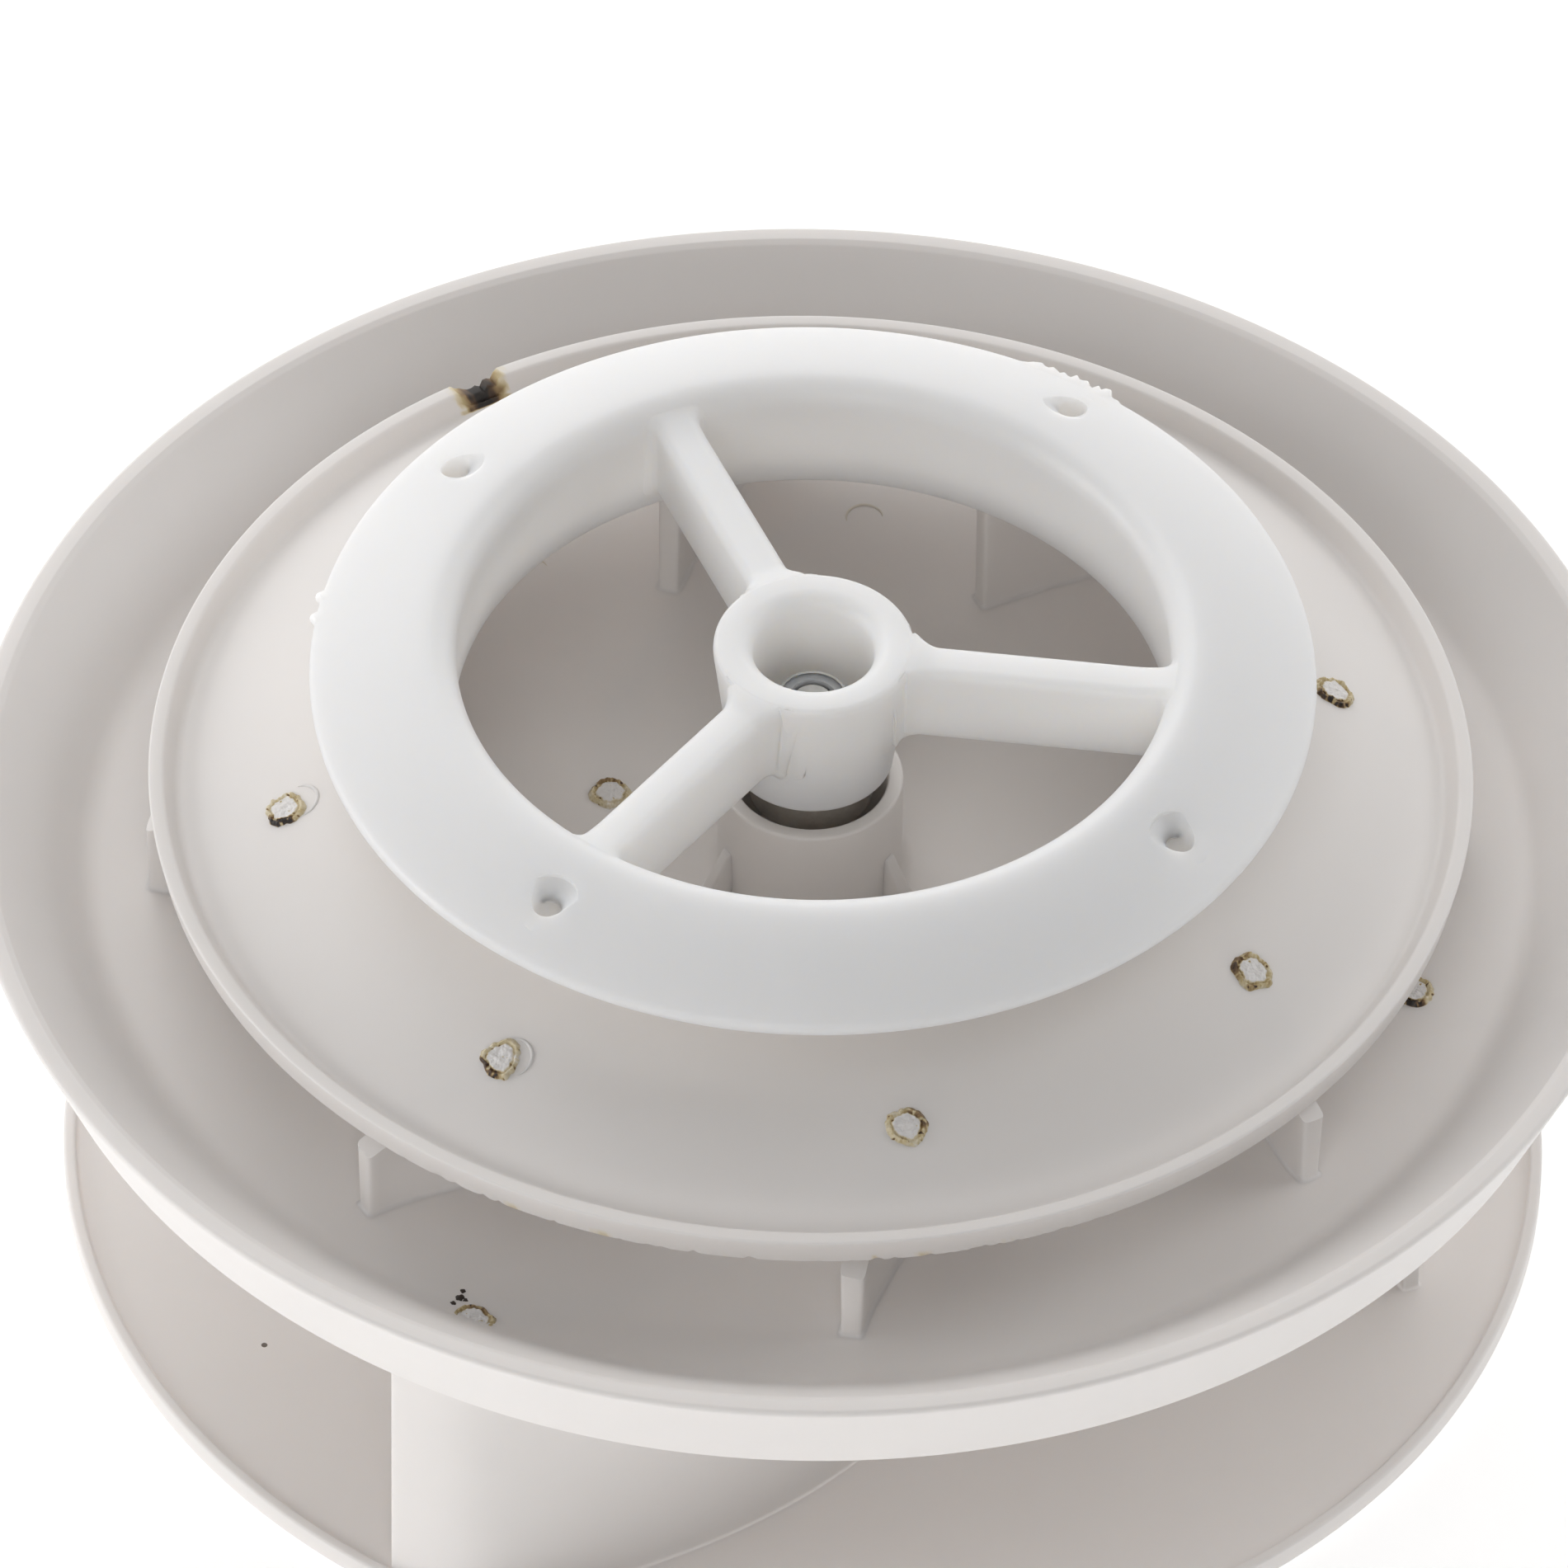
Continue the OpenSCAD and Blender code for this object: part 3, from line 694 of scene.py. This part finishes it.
def nick_burn(co):
    """How burnt a point of the shroud is: charred round the nick, smudged on the lip's lower edge."""
    r = math.hypot(co.x, co.y)
    a = math.atan2(co.y, co.x)
    if r > SHROUD_FOOT_R + 1 * MM and co.z < RIM_Z + 3.6 * MM:
        smudge = noise.noise(Vector((math.cos(a) * 22, math.sin(a) * 22, 4.0))) + 0.4 * noise.noise(co * 1500)
        return 0.16 * smoothstep((smudge - 0.30) / 0.25) * smoothstep((math.cos(a - SMUDGED_AT) - 0.8) / 0.15)
    if r < SHROUD_FOOT_R or co.z < RIM_Z + 3 * MM:
        return 0.0
    away = abs(turn_from(a, NICK_ANGLE)) / NICK_HALF
    ragged = 0.35 * noise.noise(co * 900)
    return max(0.0, min(1.0, 1.15 - away + ragged))


shroud = build_shroud()
paint_burn(shroud, [nick_burn(v.co) for v in shroud.data.vertices])
dress(shroud, ABS, "rotor", ["shroud"])


def build_plate():
    """Bottom plate with its eye and low lip."""
    lip = plate_high.z
    low = plate_low.z
    outline = rounded([
        (EYE_R, low, 1.0 * MM), (PLATE_R, low, 0.9 * MM), (PLATE_R, lip, 0.6 * MM),
        (PLATE_R - 2.1 * MM, lip, 0.6 * MM),
        (PLATE_R - 2.3 * MM, PLATE_Z, 0.7 * MM), (EYE_R, PLATE_Z, 1.0 * MM)], 6)

    def shape(r, z, a):
        if z < low + 1 * MM:
            return r, z
        return r, z + wander(a, 11.0, 0.10 * MM) * smoothstep((r - 80 * MM) / (50 * MM))

    return lathe("bottom_disc", densify(outline, 4 * MM), 480, shape)


dress(build_plate(), ABS, "rotor", ["bottom_plate"])


# ---- Vanes ----

UPPER_START = math.radians(4.5)
UPPER_T, LOWER_T = 4 * MM, 3.2 * MM
UPPER_TIP_R, UPPER_ROOT_R = 117.2 * MM, 72.8 * MM
UPPER_PEG_R = 94 * MM
LOWER_START = math.radians(237.6)
LOWER_TIP_R, LOWER_SHORT_R, LOWER_ROOT_R = 129.3 * MM, 114.4 * MM, 36 * MM
LOWER_PEG_R, LOWER_ROOT_PEG_R = 111.1 * MM, 39 * MM
LOWER_LONG_PEG = 6.3
LOWER_WRAP, LOWER_ARC, LOWER_BEND, LOWER_CURL = 68, 6.6, 1.3, 10.3
LOWER_CURL_R = 82 * MM
UPPER_SWEEP = math.radians(17)
HEAD_CREASE = 60


def upper_turn(r):
    """Turn from an upper vane's outer end to a radius on its centre line."""
    return UPPER_SWEEP * ((UPPER_TIP_R - r) / (UPPER_TIP_R - UPPER_ROOT_R)) ** 1.5


def lower_at(r):
    """Turn in degrees at which a lower vane's spiral reaches a radius."""
    return LOWER_ARC + LOWER_WRAP * math.log(LOWER_TIP_R / r)


def lower_point(k, t):
    """Point of a lower vane's centre line: an arc along the rim, a spiral and a curled root."""
    r = LOWER_TIP_R * math.exp(-LOWER_BEND / LOWER_WRAP * math.log(1 + math.exp((t - LOWER_ARC) / LOWER_BEND)))
    curled = LOWER_CURL * max(0.0, (LOWER_CURL_R - r) / (LOWER_CURL_R - LOWER_ROOT_PEG_R)) ** 2
    return polar(r, LOWER_START + TAU * k / 4 + math.radians(t + curled))


def squarish_end(centre, out):
    """Outline points round a wall's end, from its left side to its right, as (centre, offset)."""
    left = Vector((-out.y, out.x))
    points = []
    for k in range(1, 12):
        a = math.pi / 2 - math.pi * k / 12
        c, s = math.cos(a), math.sin(a)
        points.append((centre, out * abs(c) ** 0.4 + left * math.copysign(abs(s) ** 0.4, s)))
    return points


def wall(name, line, thick, low_z, high_z, foot, crown, draft=0.0):
    """Upright curved wall with squarish ends, a fillet at its foot and another under its top.

    low_z and high_z are functions of radius; foot and crown are the fillet radii, and draft
    is how much further each face stands out at the top than at the foot.
    """
    half = thick / 2
    outline = []
    count = len(line)

    def along(i):
        a, b = line[max(0, i - 1)], line[min(count - 1, i + 1)]
        return (b - a).normalized()

    for i in range(count):
        t = along(i)
        outline.append((line[i], Vector((-t.y, t.x))))
    outline += squarish_end(line[-1], along(count - 1))
    for i in reversed(range(count)):
        t = along(i)
        outline.append((line[i], Vector((t.y, -t.x))))
    outline += squarish_end(line[0], -along(0))

    rows = []
    for k in range(6):
        a = math.pi / 2 * k / 5
        rows.append((0, foot * (1 - math.sin(a)), foot * (1 - math.cos(a))))
    for k in range(1, 10):
        rows.append((k / 10, 0, 0))
    for k in range(6):
        a = math.pi / 2 * (1 - k / 5)
        rows.append((1, crown * (1 - math.sin(a)), -crown * (1 - math.cos(a))))
    verts, faces = [], []
    sunk = 0.3 * MM
    for level, spread, lift in rows:
        for centre, normal in outline:
            p = centre + normal * (half + spread + draft * (level - 0.5))
            r = p.length
            low, high = low_z(r), high_z(r)
            base_low, base_high = low + foot, high - crown
            if level == 0:
                z = low + lift
            elif level == 1:
                z = high + lift
            else:
                z = base_low + (base_high - base_low) * level
            verts.append((p.x, p.y, z))
    n = len(outline)
    # sunk rims close the wall inside the plates
    for level, spread, z_of, sign in ((0, foot, low_z, -1), (1, crown, high_z, 1)):
        for centre, normal in outline:
            p = centre + normal * (half + spread + draft * (level - 0.5))
            verts.append((p.x, p.y, z_of(p.length) + sign * sunk))
    levels = [len(rows)] + list(range(len(rows))) + [len(rows) + 1]
    for a, b in zip(levels[:-1], levels[1:]):
        for i in range(n):
            j = (i + 1) % n
            faces.append((a * n + i, a * n + j, b * n + j, b * n + i))
    faces.append(tuple(len(rows) * n + i for i in reversed(range(n))))
    faces.append(tuple((len(rows) + 1) * n + i for i in range(n)))
    return make(name, verts, faces, 40)


def build_upper_vane(k):
    """Blade between dish and shroud, cut off under the cone."""
    start = UPPER_START + TAU * k / 8
    line = []
    for i in range(25):
        r = UPPER_TIP_R - UPPER_T / 2 + (UPPER_ROOT_R + UPPER_T - UPPER_TIP_R) * i / 24
        line.append(polar(r, start + upper_turn(r)).to_2d())

    def top(r):
        return min(cone_z(r) - 2.75 * MM, RIM_Z + 2.9 * MM) if r > SHROUD_FOOT_R else cone_z(r) - 2.75 * MM

    vane = wall(f"upper_blade_{k + 1}", line, UPPER_T, lambda r: FLOOR_Z, top, 0.7 * MM, 0.05 * MM, 0.3 * MM)
    dress(vane, ABS, "rotor", [f"upper_vane_{k + 1}"])


def lower_tip(k):
    """Turn at which a lower vane's centre line starts; long and short vanes take turns."""
    return 0.0 if k % 2 == 0 else lower_at(LOWER_SHORT_R)


def build_lower_vane(k):
    """Curled blade between bottom plate and dish."""
    first, last = lower_tip(k) + 0.25, lower_at(LOWER_ROOT_R)
    line = [lower_point(k, first + (last - first) * i / 90).to_2d() for i in range(91)]
    vane = wall(f"lower_blade_{k + 1}", line, LOWER_T, lambda r: PLATE_Z, lambda r: UNDER_Z, 0.5 * MM, 0.5 * MM)
    dress(vane, ABS, "rotor", [f"lower_vane_{k + 1}"])


for vane_index in range(8):
    build_upper_vane(vane_index)
for vane_index in range(4):
    build_lower_vane(vane_index)


# ---- Melted peg heads ----

def weld_head(name, place, lean_angle, lean, seed, char, dark, dark_angle, size=3.8 * MM):
    """Peg melted over with a hot tool: a pale disc in a ragged, scorched rim.

    char is how brown the rim is all round; dark is how black it is towards dark_angle.
    """
    rng = random.Random(seed)
    shift = Vector((rng.uniform(-50, 50), rng.uniform(-50, 50), 0))
    rings, around = 34, 112
    verts, burns = [], []
    for i in range(rings + 1):
        u = i / rings
        for k in range(around):
            a = TAU * k / around
            ragged = 1 + 0.20 * noise.noise(Vector((math.cos(a) * 1.2, math.sin(a) * 1.2, 0)) + shift)
            ragged += 0.09 * noise.noise(Vector((math.cos(a) * 4, math.sin(a) * 4, 3)) + shift)
            r = size * ragged * u
            x, y = r * math.cos(a), r * math.sin(a)
            lumps = noise.noise(Vector((x * 1000, y * 1000, 0)) + shift)
            fine = noise.noise(Vector((x * 2600, y * 2600, 5)) + shift)
            warp = u + 0.05 * noise.noise(Vector((math.cos(a) * 2.5, math.sin(a) * 2.5, 8)) + shift)
            ridge = math.exp(-((warp - 0.80) / 0.10) ** 2)
            cap = 1 - smoothstep((warp - 0.60) / 0.08)
            edge = 1 - smoothstep((u - 0.88) / 0.12)
            z = (0.55 * ridge * (1 + 1.1 * lumps) + 0.45 * cap * (1 + 0.5 * lumps) + 0.18 + 0.14 * fine) * edge
            verts.append(Vector((x, y, z * MM if i < rings else -0.35 * MM)))
            band = smoothstep((warp - 0.57) / 0.10) * (1 - smoothstep((u - 0.95) / 0.05))
            slow = noise.noise(Vector((math.cos(a) * 1.6, math.sin(a) * 1.6, 12)) + shift)
            blot = noise.noise(Vector((x * 1500, y * 1500, 9)) + shift)
            spots = smoothstep((blot + 0.3 * slow - 0.42) / 0.14)
            side = smoothstep((math.cos(a - dark_angle) - 0.45) / 0.45) * smoothstep((lumps + blot + 0.5) / 0.5)
            burn = band * (char * (1 + 0.9 * slow + 0.7 * fine) + 0.45 * spots + dark * side)
            burn += 0.35 * cap * smoothstep((blot - 0.58) / 0.06)
            burns.append(max(0.0, min(1.0, burn)))
    mesh = bpy.data.meshes.new(name)
    mesh.from_pydata([tuple(v) for v in verts], [], disc_faces(rings, around))
    head = bpy.data.objects.new(name, mesh)
    bpy.context.scene.collection.objects.link(head)
    paint_burn(head, burns)
    tidy(head, HEAD_CREASE)
    seat(head, place, lean_angle, lean)
    dress(head, ABS, "rotor")


def scorch_blob(name, place, size, seed):
    """Drop of charred plastic beside a melted head."""
    shift = Vector((seed * 7.3, seed * 3.1, 0))
    verts = []
    rings, around = 6, 20
    for i in range(rings + 1):
        for k in range(around):
            a = TAU * k / around
            r = size * i / rings * (1 + 0.5 * noise.noise(Vector((math.cos(a) * 1.5, math.sin(a) * 1.5, 0)) + shift))
            z = 0.35 * size * (1 - (i / rings) ** 2) if i < rings else -0.2 * MM
            verts.append(Vector((r * math.cos(a), r * math.sin(a), z)))
    blob = make(name, verts, disc_faces(rings, around), HEAD_CREASE)
    paint_burn(blob, [0.82] * len(blob.data.vertices))
    seat(blob, place, 0.0, 0.0)
    dress(blob, ABS, "rotor")


def seat(obj, place, lean_angle, lean):
    """Moves a mesh from the origin to its seat and leans it outwards."""
    tilt = Matrix.Rotation(lean, 4, Vector((-math.sin(lean_angle), math.cos(lean_angle), 0)))
    obj.data.transform(Matrix.Translation(place) @ tilt)


def arc_ridge(name, place, lean_angle, lean, radius, start, sweep, tube, char):
    """Thin curved ridge that tapers to both ends, left by a slipped tool or an ejector pin."""
    verts = []
    along, around = 48, 8
    for i in range(along + 1):
        u = i / along
        a = start + sweep * u
        t = tube * math.sin(math.pi * u) ** 0.5 if 0 < u < 1 else tube * 0.02
        for k in range(around):
            b = TAU * k / around
            r = radius + t * math.cos(b)
            verts.append(Vector((r * math.cos(a), r * math.sin(a), 0.7 * t * math.sin(b))))
    ridge = make(name, verts, bar_faces(along + 1, around), HEAD_CREASE)
    # char tints the whole ridge with the scorch colours: painted shade of the burr on the ejector marks, zero on the
    # tool slips.
    paint_burn(ridge, [char] * len(ridge.data.vertices))
    seat(ridge, place, lean_angle, lean)
    dress(ridge, ABS, "rotor")


CONE_LEAN = math.atan(SHROUD_SLOPE)
# char, dark and the direction of the dark side, for the eight heads in turn from the first vane
UPPER_LOOK = [(0.26, 0.62, 250), (0.22, 0.30, 80), (0.24, 0.35, 200), (0.20, 0.30, 320),
              (0.20, 0.75, 255), (0.17, 0.55, 212), (0.22, 0.38, 40), (0.28, 0.34, 165)]
LOWER_LOOK = [(0.22, 0.30, 60), (0.26, 0.30, 62), (0.24, 0.30, 140), (0.26, 0.62, 255),
              (0.22, 0.34, 110), (0.24, 0.30, 200), (0.22, 0.30, 20), (0.24, 0.35, 310)]


def upper_peg_angle(k):
    """Angle of an upper vane's peg."""
    return UPPER_START + TAU * k / 8 + upper_turn(UPPER_PEG_R)


for k, (char, dark, side) in enumerate(UPPER_LOOK):
    weld_head(f"upper_weld_{k + 1}", polar(UPPER_PEG_R, upper_peg_angle(k), cone_z(UPPER_PEG_R)), upper_peg_angle(k),
              CONE_LEAN, 20 + k, char, dark, math.radians(side))
for k, shift in ((4, Vector((2.3, 1.2, 0))), (5, Vector((1.9, -0.1, 0)))):
    spot = polar(UPPER_PEG_R, upper_peg_angle(k)) + shift * MM
    spot.z = cone_z(math.hypot(spot.x, spot.y))
    arc_ridge(f"tool_slip_{k + 1}", spot, upper_peg_angle(k), CONE_LEAN, 3.6 * MM, math.radians(-80),
              math.radians(175), 0.36 * MM, 0.0)
for k in range(4):
    outer = LOWER_LONG_PEG if k % 2 == 0 else lower_at(LOWER_PEG_R)
    for side, turn in enumerate((lower_at(LOWER_ROOT_PEG_R), outer)):
        spot = lower_point(k, turn)
        spot.z = FLOOR_Z
        char, dark, dark_side = LOWER_LOOK[2 * k + side]
        weld_head(f"lower_weld_{2 * k + side + 1}", spot, 0.0, 0.0, 60 + 2 * k + side, char, dark,
                  math.radians(dark_side))
SCORCHED = lower_point(0, LOWER_LONG_PEG)
SCORCHED.z = FLOOR_Z
for k, (x, y, size) in enumerate(((-2.6, 5.3, 0.9), (-3.7, 3.9, 0.6), (-2.1, 6.9, 0.55), (-1.6, 4.8, 0.5))):
    scorch_blob(f"scorch_{k + 1}", SCORCHED + Vector((x, y, 0)) * MM, size * MM, k + 1)

# Ejector-pin ridges; their slight scorch tint (0.07) is painted shade standing in for the shadow of each burr, not
# char.
EJECTOR_R = 89 * MM
for mark_index in range(8):
    mark_angle = math.radians(84.4 - 4.1 * (mark_index % 2) + 45 * mark_index)
    arc_ridge(f"ejector_mark_{mark_index + 1}", polar(EJECTOR_R, mark_angle, FLOOR_Z), 0.0, 0.0, 3.3 * MM,
              math.radians(5 + 20 * mark_index), math.radians(195), 0.32 * MM, 0.07)


# ---- Bearings and fasteners keep their CAD shapes ----

for node_name in frame["nodes"]:
    finish_slot = next(s["material_slot"] for s in frame["record"]["subparts"] if s["node"] == node_name)
    finish = {"bearing_steel": STEEL, "zinc_steel": ZINC}.get(finish_slot)
    if node_name == "nut_insert":
        finish = NYLON
    if finish:
        node = frame["nodes"][node_name]
        node.data.materials.clear()
        node.data.materials.append(finish)


# ---- Floor, light and surroundings ----

WORLD_BASE = 0.03
WORLD_LEFT, WORLD_BACK = 0.1, 1.5
FLOOR_GLOW = 0.41
FLOOR_HALF = 6
# place, size and power of each soft lamp
LAMPS = {
    "key": ((-1.0, 1.9, 1.8), 1.6, 11),
    "left": ((-2.2, -0.2, 0.35), 1.2, 17),
    "front": ((-0.3, -2.3, 1.25), 1.4, 17),
    "high": ((-0.2, -1.2, 2.6), 1.6, 6),
    "right": ((2.0, 0.6, 1.3), 1.4, 12),
}


def build_world():
    """Light tent whose walls shine differently on each side."""
    world = bpy.data.worlds.new("studio")
    bpy.context.scene.world = world
    world.use_nodes = True
    tree = world.node_tree
    coords = tree.nodes.new("ShaderNodeTexCoord")
    split = tree.nodes.new("ShaderNodeSeparateXYZ")
    tree.links.new(coords.outputs["Generated"], split.inputs[0])

    def step(operation, *values):
        node = tree.nodes.new("ShaderNodeMath")
        node.operation = operation
        for socket, value in zip(node.inputs, values):
            if isinstance(value, bpy.types.NodeSocket):
                tree.links.new(value, socket)
            else:
                socket.default_value = value
        return node.outputs[0]

    total = WORLD_BASE
    for axis, sign, strength in (("X", -1, WORLD_LEFT), ("Y", 1, WORLD_BACK)):
        lean = step("MAXIMUM", step("MULTIPLY", split.outputs[axis], sign), 0.0)
        total = step("MULTIPLY_ADD", lean, strength, total)
    background = tree.nodes["Background"]
    background.inputs["Color"].default_value = (1.0, 0.992, 0.985, 1)
    tree.links.new(total, background.inputs["Strength"])


def build_stage():
    """White glowing floor, light tent and lamps aimed at the rim's centre."""
    corners = [(x * FLOOR_HALF, y * FLOOR_HALF, cad_low.z) for x, y in ((-1, -1), (1, -1), (1, 1), (-1, 1))]
    floor = make("floor", corners, [(0, 1, 2, 3)])
    n = Nodes("floor_white")
    n.link(n.mix(n.noise(3, 2), (0.93, 0.93, 0.93), (0.95, 0.95, 0.95)), n.shader.inputs["Base Color"])
    n.shader.inputs["Roughness"].default_value = 0.9
    n.shader.inputs["Emission Color"].default_value = (1, 1, 1, 1)
    n.shader.inputs["Emission Strength"].default_value = FLOOR_GLOW
    floor.data.materials.append(n.material)
    build_world()
    for name, (place, size, power) in LAMPS.items():
        data = bpy.data.lights.new(name, "AREA")
        data.size = size
        data.energy = power
        lamp = bpy.data.objects.new(name, data)
        bpy.context.scene.collection.objects.link(lamp)
        lamp.location = place
        aim = Vector((0, 0, RIM_Z)) - Vector(place)
        lamp.rotation_euler = aim.to_track_quat("-Z", "Y").to_euler()


build_stage()
bpy.context.scene.view_settings.view_transform = "Standard"
